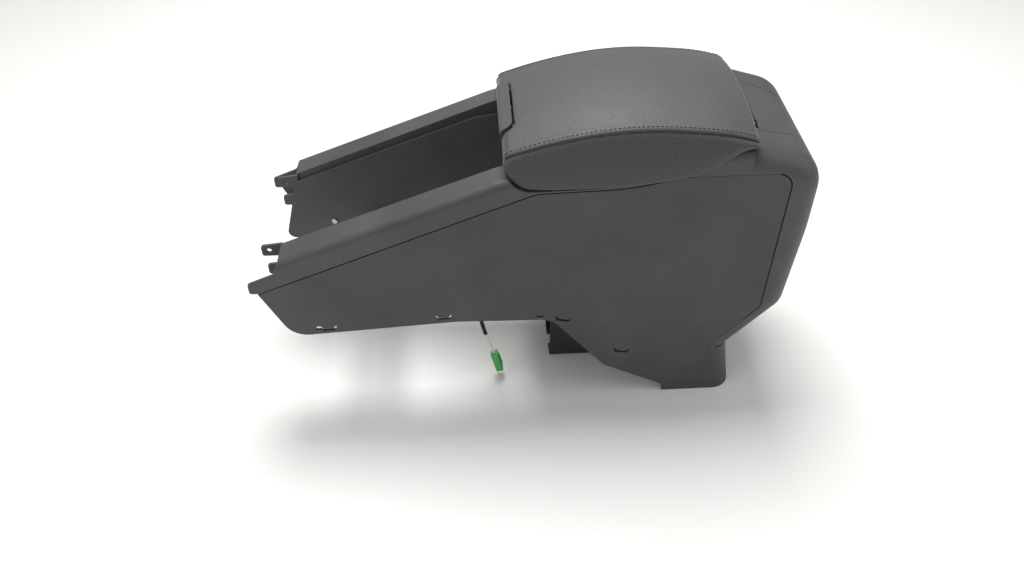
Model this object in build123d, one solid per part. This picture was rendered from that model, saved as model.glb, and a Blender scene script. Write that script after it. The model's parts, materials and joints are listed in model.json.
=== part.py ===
from build123d import *
import math
import os

# Car center console: an open channel between two sloping rails at the front, and a hinged, padded
# armrest over a storage bin at the rear. It stands on the feet of its side panels and a floor bracket.
# Frame: X runs to the car's rear, Y to its right, Z up. The origin is on the floor, under the middle of
# the console's length. A station is a length behind the foremost tip, and the armrest and all behind the
# channel are set from the rear end. Lengths are in millimetres.

# Overall form
LENGTH = 632.0
FRONT_HALF_WIDTH = 104.5
REAR_HALF_WIDTH = 99.5
WALL = 3.0
CLEARANCE = 0.3

# Top line of the frame: rails, rim under the armrest, rear deck
RAIL_STATION = 39.0
RAIL_HEIGHT = 238.0
RIM_STATION = LENGTH - 343.0
RIM_HEIGHT = 335.0
RAIL_BLEND = 120.0
DECK_STATION = LENGTH - 76.0
DECK_HEIGHT = 362.0
DECK_BLEND = 60.0
DECK_FALL = 16.0
RAIL_EDGE_RADIUS = 8.0

# Rear shroud
SHROUD_STATION = LENGTH - 83.0
SHROUD_EDGE_RADIUS = 24.0
REAR_TOP_RADIUS = 46.0
REAR_BEND_HEIGHT = 250.0
REAR_BEND_RADIUS = 400.0
REAR_LEAN = 8.0
REAR_LOWER_HEIGHT = 140.0
REAR_LOWER_RADIUS = 30.0
UNDERCUT_ANGLE = 50.0
CHANNEL_HALF_WIDTH = 68.3
INNER_FLANGE_DEPTH = 20.0
OPENING_REAR_STATION = LENGTH - 77.0

# Parting line between the frame and the side panels, with bends as station, height and radius
PARTING_GAP = 1.4
PARTING_START_STATION = 10.0
PARTING_FRONT_HEIGHT = 194.5
PARTING_BENDS = [
    (LENGTH - 310.0, 319.4, 40.0),
    (LENGTH - 207.0, 322.0, 250.0),
    (LENGTH - 162.0, 333.5, 80.0),
]
PARTING_REAR_HEIGHT = 334.0
GROOVE_STATION = LENGTH - 36.0
GROOVE_CORNER_RADIUS = 18.0
GROOVE_LOWER_HEIGHT = 142.0
GROOVE_LOWER_RADIUS = 8.0
CREASE_RISE = 38.0
HAIRLINE_FRONT_STATION = LENGTH - 170.0
HAIRLINE_REAR_STATION = LENGTH - 52.0
HAIRLINE_LOWER_HEIGHT = 122.0
TONGUE_REACH = 31.0
TONGUE_DEPTH = 14.0
TONGUE_SLOPE_RISE = 13.0
TONGUE_RADIUS = 3.0

# Side panels
PANEL_LOWER_FRONT_HEIGHT = 126.0
PANEL_MIDDLE_STATION = LENGTH - 402.0
PANEL_LOWER_MIDDLE_HEIGHT = 138.0
ARCH_STATION = LENGTH - 289.0
ARCH_KNEE_STATION = LENGTH - 221.0
ARCH_KNEE_HEIGHT = 53.0
FOOT_STATION = LENGTH - 142.0
FOOT_REAR_STATION = LENGTH - 52.0
FOOT_DROP = 12.0
FOOT_NECK_STATION = LENGTH - 65.0
FOOT_NECK_HEIGHT = 73.0
FOOT_RETURN_WIDTH = 34.0
FOOT_CORNER_RADIUS = 24.0
LAP_DEPTH = 2.0
LAP_ABOVE = 5.0
LAP_BELOW = 7.0
SLIT_PLACES = [
    (81.0, 134.5, 2.0),
    (LENGTH - 416.0, 144.0, 2.0),
    (LENGTH - 275.0, 133.0, -12.0),
    (LENGTH - 201.0, 75.0, -10.0),
]
SLIT_WIDTH = 19.0
SLIT_DEPTH = 4.5
SLIT_KERF = 3.0
SHORT_SLIT_PLACE = (LENGTH - 302.0, 141.0)
SHORT_SLIT_LENGTH = 9.0
SQUARE_HOLE_PLACE = (69.0, 137.0)
SQUARE_HOLE = 5.5
BOSS_PLACES = [
    (76.0, 165.0),
    (LENGTH - 416.0, 176.0),
    (LENGTH - 292.0, 176.0),
    (LENGTH - 140.0, 176.0),
]
BOSS_RADIUS = 5.0
BOSS_BORE_DEPTH = 16.0

# Armrest recess in the frame and the armrest lid
RECESS_HALF_WIDTH = 93.0
RECESS_GAP = 2.0
RIM_GAP = 1.2
LID_FRONT = 3.0
LID_LENGTH = 262.0
LID_HALF_WIDTH = 94.5
LID_BASE_HEIGHT = 7.3
LID_CORNER_RADIUS = 16.0
LID_BOSS_RADIUS = 5.0
LID_SCREW_PLACES = (30.0, 190.0)
LID_SCREW_SIDE = 70.0
BUMPER_RADIUS = 4.0
BUMPER_SIDE = 52.0
BUMPER_SETBACK = 5.0
LINER_THICKNESS = 2.0
LINER_LENGTH = 205.0
CUSHION_LOW_HEIGHT = 300.0
CUSHION_FRONT_STATION = LENGTH - 344.0
CUSHION_REAR_STATION = LENGTH - 77.5
CUSHION_RISE = 63.0
CUSHION_FRONT_FALL = 32.0
CUSHION_REAR_FALL = 13.0
CUSHION_TOP_STATION = LENGTH - 192.0
CUSHION_CROWN_RADIUS = 420.0
CUSHION_CROWN_ANGLE = 36.0
CUSHION_FRONT_HALF_WIDTH = 85.0
CUSHION_HALF_WIDTH = 90.0
CUSHION_CORNER_RADIUS = 10.0
CUSHION_SIDE_RADIUS = 400.0
CUSHION_FLARE = 13.5
CUSHION_SKIRT_HALF_WIDTH = 95.0
GUSSET_LOWER_HEIGHT = 322.5
GUSSET_FRONT_RADIUS = 28.0
GUSSET_MIDDLE = (LENGTH - 207.0, 326.0, 250.0)
GUSSET_RISE = (LENGTH - 111.0, 350.5, 70.0)
GUSSET_REAR_HEIGHT = 390.5

# Lid hinge
HINGE_U = 270.7
HINGE_W = 1.0
KNUCKLE_RADIUS = 4.5
HINGE_PIN_RADIUS = 2.2
PIN_FIT = 0.05
LEAF_KNUCKLE_HALF = 30.0
HINGE_HALF_WIDTH = 46.0
HINGE_SHEET = 2.0
LEAF_LENGTH = 44.0
LEAF_SCREW_INSET = 12.0
HINGE_BRACKET_DROP = 60.0
HINGE_SCREW_SIDE = 30.0
HINGE_SCREW_DROP = 40.0

# Release paddle
PADDLE_HALF_WIDTH = 48.0
PADDLE_WALL = 3.5
PADDLE_FRONT = -1.0
PADDLE_LOW = 5.0
PADDLE_TOP = 33.0
PADDLE_REAR = 14.0
PADDLE_GAP = 1.4
PADDLE_REAR_GAP = 3.6
PADDLE_CORNER_RADIUS = 10.0
PIVOT_U = 13.0
PIVOT_W = 25.0
PIVOT_RADIUS = 1.5
PIVOT_BOSS_RADIUS = 4.0
EAR_THICKNESS = 3.0
HOOK_WIDTH = 14.0
HOOK_LOW = -9.0
HOOK_REACH = 5.2
STRIKER_FRONT = 7.0
STRIKER_HALF_WIDTH = 12.0
STRIKER_LENGTH = 9.0
STRIKER_SHEET = 1.2
SPRING_WIRE = 1.0
SPRING_TURNS = 6
SPRING_LEG_RADIUS = 0.35

# Inner carrier
CARRIER_HALF_WIDTH = 68.0
CARRIER_WALL = 3.0
CARRIER_LOW_HEIGHT = 140.0
CARRIER_FRONT_LOW_STATION = 11.0
CARRIER_REAR_LOW_HEIGHT = 196.0
CARRIER_REAR_TOP_HEIGHT = 338.0
CARRIER_EDGE = 5.0
TAB_LENGTH = 20.0
BULKHEAD_TAB_HEIGHT = 250.0
BULKHEAD_LOW_HEIGHT = 200.0
BULKHEAD_TOP_DROP = 12.5
LEDGE_FRONT_STATION = 35.0
LEDGE_FRONT_HEIGHT = 227.0
LEDGE_BEND_STATION = LENGTH - 370.0
LEDGE_BEND_HEIGHT = 313.0
LEDGE_REAR_HEIGHT = 317.0
BIN_SEAT_STATION = LENGTH - 338.0
UPPER_LUG = (14.0, 220.0)
LOWER_LUG = (17.0, 193.0)
LUG_LENGTH = 25.0
LUG_HEIGHT = 17.0
LUG_FALL = 3.0
LUG_BORE_RADIUS = 3.0
LUG_BORE_PLACE = (22.5, 227.5)
CROSSBAR_STATION = 118.0
CROSSBAR_LENGTH = 28.0
CROSSBAR_HEIGHT = 16.0
FLOOR_PLATE_STATION = LENGTH - 304.0
FLOOR_PLATE_REAR_STATION = LENGTH - 150.0

# Storage bin
BIN_FRONT_STATION = LENGTH - 333.0
BIN_REAR_STATION = LENGTH - 86.0
BIN_WALL = 2.5
BIN_FLOOR_HEIGHT = 147.0
BIN_CORNER_RADIUS = 14.0
BIN_FLOOR_RADIUS = 8.0
BIN_FLANGE_DROP = 1.0
BIN_FLANGE_THICKNESS = 2.5
MAT_THICKNESS = 2.5

# Rear cover
COVER_STATION = LENGTH - 68.0
COVER_FRONT_HALF_WIDTH = 54.0
COVER_REAR_HALF_WIDTH = 47.0
COVER_LOW_HEIGHT = 160.0
COVER_GAP = 0.8
COVER_LAP = 6.0

# Floor bracket
BRACKET_STATION = LENGTH - 282.0
BRACKET_LENGTH = 110.0
BRACKET_HALF_WIDTH = 32.0
BRACKET_FLANGE = 22.0
BRACKET_SHEET = 2.5
BRACKET_BEND_RADIUS = 5.0
BOLT_HOLE_RADIUS = 4.5
BOLT_SPACING = 70.0
BOLT_SIDE = 20.0

# Screws
SCREW_RADIUS = 2.0
SCREW_HEAD_RADIUS = 4.0
SCREW_HEAD_HEIGHT = 2.0
SCREW_FIT = 0.1
PANEL_SCREW_BITE = 12.0

# Bin lamp
LAMP_SIDE = -32.0
LAMP_HEIGHT = 262.0
LAMP_WIDTH = 24.0
LAMP_TALL = 16.0
LAMP_DEPTH = 11.0
LAMP_RIM = 2.0
LAMP_RIM_REACH = 3.0
LAMP_WALL = 2.0
BOOT_LENGTH = 11.0
BOOT_ROOT_RADIUS = 4.2
BOOT_END_RADIUS = 3.2

# Hanging lead, as length behind the bin's front wall, side and height
SLEEVE_RADIUS = 2.5
SLEEVE_ROUTE = [
    (-16.0, -38.0, 249.0),
    (-27.5, -41.0, 236.5),
    (-37.0, -46.5, 217.5),
    (-42.0, -53.0, 191.5),
    (-43.5, -58.5, 158.0),
    (-42.0, -61.5, 122.0),
    (-38.5, -62.0, 94.0),
    (-34.0, -62.0, 76.0),
]
WIRE_RADIUS = 0.9
WIRE_SPACING = 2.2
WIRE_ROUTE = [
    (-34.0, -62.0, 76.0),
    (-31.25, -62.0, 65.0),
    (-27.0, -62.0, 53.5),
    (-23.875, -62.0, 41.0),
]
CONNECTOR_WIDTH = 11.0
CONNECTOR_DEPTH = 9.0
CONNECTOR_LENGTH = 30.0
CONNECTOR_MOUTH_DEPTH = 12.0
CONNECTOR_WALL = 1.5
CONNECTOR_EDGE_RADIUS = 1.2
CONNECTOR_LATCH_WIDTH = 4.0
CONNECTOR_LATCH_HEIGHT = 1.6
CONNECTOR_LATCH_START = 3.0
CONNECTOR_LATCH_LENGTH = 18.0

# Room beyond the console for open ends and cuts
BEYOND = 60.0
TALL = 440.0
SIDES = (-1, 1)

RIM_ANGLE = math.degrees(math.atan2(DECK_HEIGHT - RIM_HEIGHT, DECK_STATION - RIM_STATION))
RAIL_SLOPE = (RIM_HEIGHT - RAIL_HEIGHT) / (RIM_STATION - RAIL_STATION)
CUSHION_TOP_HEIGHT = RIM_HEIGHT + CUSHION_RISE
CUSHION_FRONT_HEIGHT = CUSHION_TOP_HEIGHT - CUSHION_FRONT_FALL
CUSHION_REAR_HEIGHT = CUSHION_TOP_HEIGHT - CUSHION_REAR_FALL
BIN_SIDE_GAP = SCREW_HEAD_HEIGHT + 2 * CLEARANCE
BIN_SEAT_DROP = (BIN_FLANGE_DROP + BIN_FLANGE_THICKNESS) / math.cos(math.radians(RIM_ANGLE))


def x_at(station):
    return station - LENGTH / 2


def half_width(station):
    share = min(station, SHROUD_STATION) / SHROUD_STATION
    return FRONT_HALF_WIDTH + (REAR_HALF_WIDTH - FRONT_HALF_WIDTH) * share


def rail_height(station):
    return RAIL_HEIGHT + RAIL_SLOPE * (station - RAIL_STATION)


def rim_height(station):
    return RIM_HEIGHT + math.tan(math.radians(RIM_ANGLE)) * (station - RIM_STATION)


def undercut_height(station):
    rear = LENGTH - REAR_LEAN
    return REAR_LOWER_HEIGHT - math.tan(math.radians(UNDERCUT_ANGLE)) * (rear - station)


def undercut_station(height):
    rear = LENGTH - REAR_LEAN
    return rear - (REAR_LOWER_HEIGHT - height) / math.tan(math.radians(UNDERCUT_ANGLE))


def parting_height(station):
    """Height of the parting line's straight run under the rail."""
    bend_station, bend_height, radius = PARTING_BENDS[0]
    slope = (bend_height - PARTING_FRONT_HEIGHT) / (bend_station - PARTING_START_STATION)
    return PARTING_FRONT_HEIGHT + slope * (station - PARTING_START_STATION)


def parting_bends(rise):
    """Bends of the parting line, moved up."""
    return [(station, height + rise, radius) for station, height, radius in PARTING_BENDS]


def side_outline(*corners):
    """Closed side view outline from corners of station, height and radius."""
    points = [(x_at(station), height) for station, height, radius in corners]
    radii = [radius for station, height, radius in corners]
    return make_face(FilletPolyline(*points, radius=radii, close=True))


def across(sketch, half=2 * FRONT_HALF_WIDTH):
    """Side view sketch drawn across the console to both sides."""
    return extrude(Plane.XZ * sketch, amount=half, both=True)


def upright(sketch, low, high):
    """Plan sketch drawn up from one height to another."""
    return extrude(Pos(0, 0, low) * sketch, amount=high - low)


def block(front, rear, half, low, high):
    """Box between two stations, centred on the console's middle plane."""
    size = Box(rear - front, 2 * half, high - low)
    return Pos(x_at((front + rear) / 2), 0, (low + high) / 2) * size


def peg(station, height, radius, start, end):
    """Cylinder along Y between two distances from the middle plane."""
    turned = Rot(-90, 0, 0) * Cylinder(radius, end - start, align=(Align.CENTER, Align.CENTER, Align.MIN))
    return Pos(x_at(station), start, height) * turned


def on_lid(shape):
    """Place a shape drawn in the lid's frame: U along the rim from its front, W square to it."""
    return Pos(x_at(RIM_STATION), 0, RIM_HEIGHT) * Rot(0, -RIM_ANGLE, 0) * shape


def lid_box(u_low, u_high, half, w_low, w_high):
    size = Box(u_high - u_low, 2 * half, w_high - w_low)
    return Pos((u_low + u_high) / 2, 0, (w_low + w_high) / 2) * size


def lid_peg(u, w, radius, start, end):
    """Cylinder along Y in the lid's frame."""
    turned = Rot(-90, 0, 0) * Cylinder(radius, end - start, align=(Align.CENTER, Align.CENTER, Align.MIN))
    return Pos(u, start, w) * turned


def side_slab(side, outer, inner):
    """Upright slab between two depths behind one side face."""
    corners = []
    for depth, stations in ((outer, (-BEYOND, SHROUD_STATION, LENGTH)), (inner, (LENGTH, SHROUD_STATION, -BEYOND))):
        for station in stations:
            corners.append((x_at(station), side * (half_width(station) - depth)))
    return upright(make_face(Polyline(*corners, close=True)), 0, TALL)


def tapered_prism(inset):
    """Plan of the console between its side faces."""
    corners = []
    for side, stations in ((-1, (-BEYOND, SHROUD_STATION, LENGTH)), (1, (LENGTH, SHROUD_STATION, -BEYOND))):
        for station in stations:
            corners.append((x_at(station), side * (half_width(station) - inset)))
    return upright(make_face(Polyline(*corners, close=True)), -BEYOND, TALL)


def front_envelope(inset):
    """Rails and rim, up to the shroud, with rounded outer edges."""
    rear = SHROUD_STATION + inset
    profile = side_outline(
        (-BEYOND, rail_height(-BEYOND), 0),
        (RIM_STATION, RIM_HEIGHT, RAIL_BLEND),
        (rear, rim_height(rear), 0),
        (rear, 0, 0),
        (-BEYOND, 0, 0),
    )
    if inset:
        profile = offset(profile, amount=-inset)
    solid = across(profile) & tapered_prism(inset)
    edges = [
        edge
        for edge in solid.edges()
        if abs(edge.center().Y) > CHANNEL_HALF_WIDTH
        and min(vertex.Z for vertex in edge.vertices()) > rail_height(-BEYOND) - 2 * WALL
    ]
    return fillet(edges, RAIL_EDGE_RADIUS - inset)


def rear_envelope(inset, front=SHROUD_STATION):
    """Rear shroud from a station on, with rounded side edges."""
    start = DECK_STATION - DECK_BLEND
    fall = math.tan(math.radians(DECK_FALL)) * (LENGTH - DECK_STATION)
    profile = side_outline(
        (start, rim_height(start), 0),
        (DECK_STATION, DECK_HEIGHT, DECK_BLEND),
        (LENGTH, DECK_HEIGHT - fall, REAR_TOP_RADIUS),
        (LENGTH, REAR_BEND_HEIGHT, REAR_BEND_RADIUS),
        (LENGTH - REAR_LEAN, REAR_LOWER_HEIGHT, REAR_LOWER_RADIUS),
        (start, undercut_height(start), 0),
    )
    if inset:
        profile = offset(profile, amount=-inset)
    solid = across(profile, REAR_HALF_WIDTH - inset)
    foremost = solid.bounding_box().min.X
    edges = [
        edge
        for edge in solid.edges()
        if abs(edge.center().Y) > CHANNEL_HALF_WIDTH
        and max(vertex.X for vertex in edge.vertices()) > foremost + CLEARANCE
    ]
    rounded = fillet(edges, SHROUD_EDGE_RADIUS - inset)
    return rounded - block(start - BEYOND, front, FRONT_HALF_WIDTH, -TALL, TALL)


def gusset_outline():
    """Side view of the armrest's lower edge, open upwards."""
    return side_outline(
        (CUSHION_FRONT_STATION - 1, TALL, 0),
        (CUSHION_FRONT_STATION + 2, GUSSET_LOWER_HEIGHT, GUSSET_FRONT_RADIUS),
        GUSSET_MIDDLE,
        GUSSET_RISE,
        (CUSHION_REAR_STATION, GUSSET_REAR_HEIGHT, 0),
        (CUSHION_REAR_STATION, TALL, 0),
    )


def armrest_recess(grow):
    """Room for the armrest's sides, set into the frame's sides."""
    room = across(offset(gusset_outline(), amount=RECESS_GAP + grow))
    core = block(0, LENGTH, RECESS_HALF_WIDTH - grow, 0, 2 * TALL)
    return room - core


def frame_outline():
    """Side view region of the frame: rails and band above the parting line, and the shroud."""
    tongue_top = PARTING_FRONT_HEIGHT + TONGUE_DEPTH
    crease_height = FOOT_NECK_HEIGHT + CLEARANCE
    crease_station = undercut_station(crease_height - CREASE_RISE)
    return side_outline(
        (RAIL_STATION + 1, TALL, 0),
        (RAIL_STATION - 1, RAIL_HEIGHT, 0),
        (TONGUE_REACH, tongue_top + TONGUE_SLOPE_RISE, 2 * TONGUE_RADIUS),
        (0, tongue_top, TONGUE_RADIUS),
        (0, PARTING_FRONT_HEIGHT, TONGUE_RADIUS),
        (PARTING_START_STATION, PARTING_FRONT_HEIGHT, TONGUE_RADIUS),
        *parting_bends(0),
        (GROOVE_STATION, PARTING_REAR_HEIGHT, GROOVE_CORNER_RADIUS),
        (GROOVE_STATION - 2, GROOVE_LOWER_HEIGHT, GROOVE_LOWER_RADIUS),
        (crease_station, crease_height, GROOVE_LOWER_RADIUS / 2),
        (LENGTH + BEYOND, crease_height, 0),
        (LENGTH + BEYOND, TALL, 0),
    )


def side_window(front, rear, low, high):
    """Side view rectangle between two stations and two heights."""
    return Pos(x_at((front + rear) / 2), (low + high) / 2) * Rectangle(rear - front, high - low)


def parting_region():
    """Side view region that the panels leave to the frame, with a hairline gap at its rear runs."""
    wide = offset(frame_outline(), amount=PARTING_GAP)
    wide -= side_window(HAIRLINE_FRONT_STATION, HAIRLINE_REAR_STATION, GROOVE_LOWER_HEIGHT, TALL)
    wide -= side_window(HAIRLINE_FRONT_STATION, LENGTH, 0, HAIRLINE_LOWER_HEIGHT)
    return wide + offset(frame_outline(), amount=CLEARANCE)


def cover_prism(grow, front):
    """Plan room of the rear cover, down to its lower edge."""
    corners = [
        (x_at(front), COVER_FRONT_HALF_WIDTH + grow),
        (x_at(LENGTH - REAR_TOP_RADIUS / 2), COVER_REAR_HALF_WIDTH + grow),
        (x_at(LENGTH + BEYOND), COVER_REAR_HALF_WIDTH + grow),
    ]
    mirrored = [(x, -y) for x, y in reversed(corners)]
    plan = make_face(Polyline(*corners, *mirrored, close=True))
    return upright(plan, COVER_LOW_HEIGHT - grow, TALL)


def hinge_axis():
    """Station and height of the lid's hinge axis."""
    angle = math.radians(RIM_ANGLE)
    station = RIM_STATION + HINGE_U * math.cos(angle) - HINGE_W * math.sin(angle)
    height = RIM_HEIGHT + HINGE_U * math.sin(angle) + HINGE_W * math.cos(angle)
    return station, height


def screw(grip):
    """Pan head screw along Z, its head below the origin plane."""
    shank = Cylinder(SCREW_RADIUS, grip, align=(Align.CENTER, Align.CENTER, Align.MIN))
    head = Cylinder(SCREW_HEAD_RADIUS, SCREW_HEAD_HEIGHT, align=(Align.CENTER, Align.CENTER, Align.MAX))
    head = chamfer(head.edges().group_by(Axis.Z)[0], SCREW_HEAD_HEIGHT / 2)
    return shank + head


def console_frame():
    outer = front_envelope(0) + rear_envelope(0) - armrest_recess(0)
    hollow = front_envelope(WALL) + rear_envelope(WALL, SHROUD_STATION - WALL) - armrest_recess(WALL)
    shell = (outer - hollow) & across(frame_outline())
    shell -= block(-BEYOND, OPENING_REAR_STATION, CHANNEL_HALF_WIDTH, 0, TALL)
    shell -= block(OPENING_REAR_STATION - 1, COVER_STATION, HINGE_HALF_WIDTH + 4, REAR_LOWER_HEIGHT, TALL)
    shell -= cover_prism(0, COVER_STATION - CLEARANCE)
    flange_band = side_outline(
        (RAIL_STATION, rail_height(RAIL_STATION), 0),
        (RIM_STATION, RIM_HEIGHT, RAIL_BLEND),
        (OPENING_REAR_STATION, rim_height(OPENING_REAR_STATION), 0),
        (OPENING_REAR_STATION, rim_height(OPENING_REAR_STATION) - INNER_FLANGE_DEPTH, 0),
        (RIM_STATION, RIM_HEIGHT - INNER_FLANGE_DEPTH, RAIL_BLEND),
        (RAIL_STATION, rail_height(RAIL_STATION) - INNER_FLANGE_DEPTH, 0),
    )
    flanges = across(flange_band, CHANNEL_HALF_WIDTH + WALL)
    flanges -= block(-BEYOND, LENGTH, CHANNEL_HALF_WIDTH, 0, TALL)
    return shell + flanges


def panel_outline():
    """Side view of a side panel; the frame's region is taken off its top and rear."""
    over = 2 * PARTING_GAP
    rear = GROOVE_STATION + GROOVE_CORNER_RADIUS
    return side_outline(
        (PARTING_START_STATION - over, PARTING_FRONT_HEIGHT + over, 0),
        (RAIL_STATION, PANEL_LOWER_FRONT_HEIGHT, 28),
        (PANEL_MIDDLE_STATION, PANEL_LOWER_MIDDLE_HEIGHT, 150),
        (ARCH_STATION, PANEL_LOWER_MIDDLE_HEIGHT - WALL, 30),
        (ARCH_KNEE_STATION, ARCH_KNEE_HEIGHT, 25),
        (FOOT_STATION - 2, FOOT_DROP, 3),
        (FOOT_STATION, 0, 0),
        (FOOT_REAR_STATION - FOOT_CORNER_RADIUS, 0, 0),
        (FOOT_NECK_STATION - FOOT_CORNER_RADIUS, FOOT_NECK_HEIGHT, 0),
        (rear, undercut_height(rear), 0),
        (GROOVE_STATION + over, PARTING_REAR_HEIGHT + over, 0),
        *reversed(parting_bends(over)),
    )


def slit(station, height, lean):
    """U shaped slit round a clip tongue, cut across the panels."""
    half = SLIT_WIDTH / 2
    path = Polyline((-half, SLIT_DEPTH), (-half * 0.7, 0), (half * 0.7, 0), (half, SLIT_DEPTH))
    shape = Rot(0, 0, lean) * trace(path, SLIT_KERF)
    return across(Pos(x_at(station), height) * shape)


def foot_return(side):
    """Foot's rear corner, wrapped inward, leaning forward as it rises."""
    rear = FOOT_REAR_STATION
    front = rear - FOOT_CORNER_RADIUS - 2 * WALL
    outer = half_width(rear)
    corners = [
        (x_at(front), outer),
        (x_at(rear), half_width(rear)),
        (x_at(rear), half_width(rear) - FOOT_RETURN_WIDTH),
        (x_at(rear - WALL), half_width(rear) - FOOT_RETURN_WIDTH),
        (x_at(rear - WALL), half_width(rear - WALL) - WALL),
        (x_at(front), outer - WALL),
    ]
    corners = [(x, side * y) for x, y in corners]
    radii = [0, FOOT_CORNER_RADIUS, 0, 0, FOOT_CORNER_RADIUS - WALL, 0]
    plan = make_face(FilletPolyline(*corners, radius=radii, close=True))
    direction = Vector(FOOT_NECK_STATION - FOOT_REAR_STATION, 0, FOOT_NECK_HEIGHT)
    return extrude(plan, amount=direction.length, dir=direction)


def side_panel(side):
    slab = side_slab(side, 0, WALL)
    panel = slab & across(panel_outline())
    panel -= across(parting_region())
    panel += foot_return(side)
    for station, height, lean in SLIT_PLACES:
        panel -= slit(station, height, lean)
    station, height = SQUARE_HOLE_PLACE
    panel -= across(Pos(x_at(station), height) * Rectangle(SQUARE_HOLE, SQUARE_HOLE))
    station, height = SHORT_SLIT_PLACE
    panel -= across(Pos(x_at(station), height) * SlotOverall(SHORT_SLIT_LENGTH, SLIT_KERF))
    panel += lap_lip(side)
    start = CARRIER_HALF_WIDTH + CLEARANCE
    for station, height in BOSS_PLACES:
        end = half_width(station) - WALL / 2
        boss = peg(station, height, BOSS_RADIUS, start, end)
        boss -= peg(station, height, SCREW_RADIUS + SCREW_FIT, start, start + BOSS_BORE_DEPTH)
        panel += boss if side > 0 else mirror(boss, Plane.XZ)
    return panel


def lap_lip(side):
    """Lip on the panel's inside that reaches up behind the frame's lower edge."""
    start = RAIL_STATION
    end = SHROUD_STATION - WALL
    lip = []
    for depth, above in ((WALL + CLEARANCE, LAP_ABOVE), (WALL, -PARTING_GAP)):
        band = side_outline(
            (start, parting_height(start) + above, 0),
            *parting_bends(above),
            (end, PARTING_REAR_HEIGHT - 1 + above, 0),
            (end, PARTING_REAR_HEIGHT - 1 - LAP_BELOW, 0),
            *reversed(parting_bends(-LAP_BELOW)),
            (start, parting_height(start) - LAP_BELOW, 0),
        )
        lip.append(side_slab(side, depth, WALL + CLEARANCE + LAP_DEPTH) & across(band))
    return lip[0] + lip[1] - armrest_recess(WALL + CLEARANCE)


def panel_screws():
    screws = []
    for station, height in BOSS_PLACES:
        for side in SIDES:
            turned = Rot(-90 * side, 0, 0) * screw(CARRIER_WALL + PANEL_SCREW_BITE)
            inner = side * (CARRIER_HALF_WIDTH - CARRIER_WALL)
            screws.append(Pos(x_at(station), inner, height) * turned)
    return Compound(children=screws)


def bulkhead_station():
    """Station of the rear bulkhead's rear face."""
    station, height = hinge_axis()
    return station + KNUCKLE_RADIUS + CARRIER_WALL


def wall_slab(sketch, side):
    """Side view sketch drawn as thick as one carrier wall, in that wall's place."""
    start = CARRIER_HALF_WIDTH if side > 0 else CARRIER_WALL - CARRIER_HALF_WIDTH
    return Pos(0, start, 0) * extrude(Plane.XZ * sketch, amount=CARRIER_WALL)


def crossbar_tab(grow):
    """Tab of the cross bar that passes through both carrier walls."""
    inset = 2 * CARRIER_WALL - grow
    front = CROSSBAR_STATION + inset
    rear = CROSSBAR_STATION + CROSSBAR_LENGTH - inset
    top = CARRIER_LOW_HEIGHT + CROSSBAR_HEIGHT
    return block(front, rear, CARRIER_HALF_WIDTH, top - CARRIER_WALL - grow, top + grow)


def support_tabs(grow):
    """Tabs of the bin support that pass through both carrier walls."""
    low = BIN_FLOOR_HEIGHT - CARRIER_WALL - grow
    high = BIN_FLOOR_HEIGHT + grow
    tabs = []
    for front in (FLOOR_PLATE_STATION + TAB_LENGTH, FLOOR_PLATE_REAR_STATION - 2 * TAB_LENGTH):
        tabs.append(block(front - grow, front + TAB_LENGTH + grow, CARRIER_HALF_WIDTH, low, high))
    return tabs[0] + tabs[1]


def bulkhead_tab(grow):
    """Tab of the rear bulkhead that passes through both carrier walls."""
    rear = bulkhead_station() + grow
    front = bulkhead_station() - CARRIER_WALL - grow
    low = BULKHEAD_TAB_HEIGHT - grow
    return block(front, rear, CARRIER_HALF_WIDTH, low, BULKHEAD_TAB_HEIGHT + TAB_LENGTH + grow)


def carrier_wall(side):
    """Wall beside the channel and the bin, with front lugs and slots for the cross members' tabs."""
    rear = bulkhead_station() + CARRIER_EDGE
    seat_rear = OPENING_REAR_STATION - CARRIER_WALL
    view = side_outline(
        (LEDGE_FRONT_STATION, LEDGE_FRONT_HEIGHT, 2),
        (LEDGE_BEND_STATION, LEDGE_BEND_HEIGHT, 60),
        (BIN_SEAT_STATION, LEDGE_REAR_HEIGHT, 0),
        (BIN_SEAT_STATION, rim_height(BIN_SEAT_STATION) - BIN_SEAT_DROP, 0),
        (seat_rear, rim_height(seat_rear) - BIN_SEAT_DROP, 0),
        (seat_rear, CARRIER_REAR_TOP_HEIGHT, 0),
        (rear, CARRIER_REAR_TOP_HEIGHT, 0),
        (rear, CARRIER_REAR_LOW_HEIGHT, 0),
        (FLOOR_PLATE_REAR_STATION, CARRIER_LOW_HEIGHT, 20),
        (CARRIER_FRONT_LOW_STATION, CARRIER_LOW_HEIGHT, 10),
    )
    wall = wall_slab(view, side)
    for front, low in (UPPER_LUG, LOWER_LUG):
        lug = side_outline(
            (front, low, LUG_FALL),
            (front + LUG_LENGTH, low, 0),
            (front + LUG_LENGTH, low + LUG_HEIGHT, 0),
            (front, low + LUG_HEIGHT - LUG_FALL, LUG_FALL),
        )
        wall += wall_slab(lug, side)
    reach = 2 * CARRIER_HALF_WIDTH
    station, height = LUG_BORE_PLACE
    wall -= peg(station, height, LUG_BORE_RADIUS, -reach, reach)
    for station, height in BOSS_PLACES:
        wall -= peg(station, height, SCREW_RADIUS + SCREW_FIT, -reach, reach)
    return wall - crossbar_tab(CLEARANCE) - support_tabs(CLEARANCE) - bulkhead_tab(CLEARANCE)


def carrier_crossbar():
    """Channel section across the front channel."""
    front = CROSSBAR_STATION
    rear = CROSSBAR_STATION + CROSSBAR_LENGTH
    half = CARRIER_HALF_WIDTH - CARRIER_WALL
    low = CARRIER_LOW_HEIGHT
    high = low + CROSSBAR_HEIGHT
    bar = block(front, rear, half, low, high)
    bar -= block(front + CARRIER_WALL, rear - CARRIER_WALL, half, low, high - CARRIER_WALL)
    return bar + crossbar_tab(0)


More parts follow.
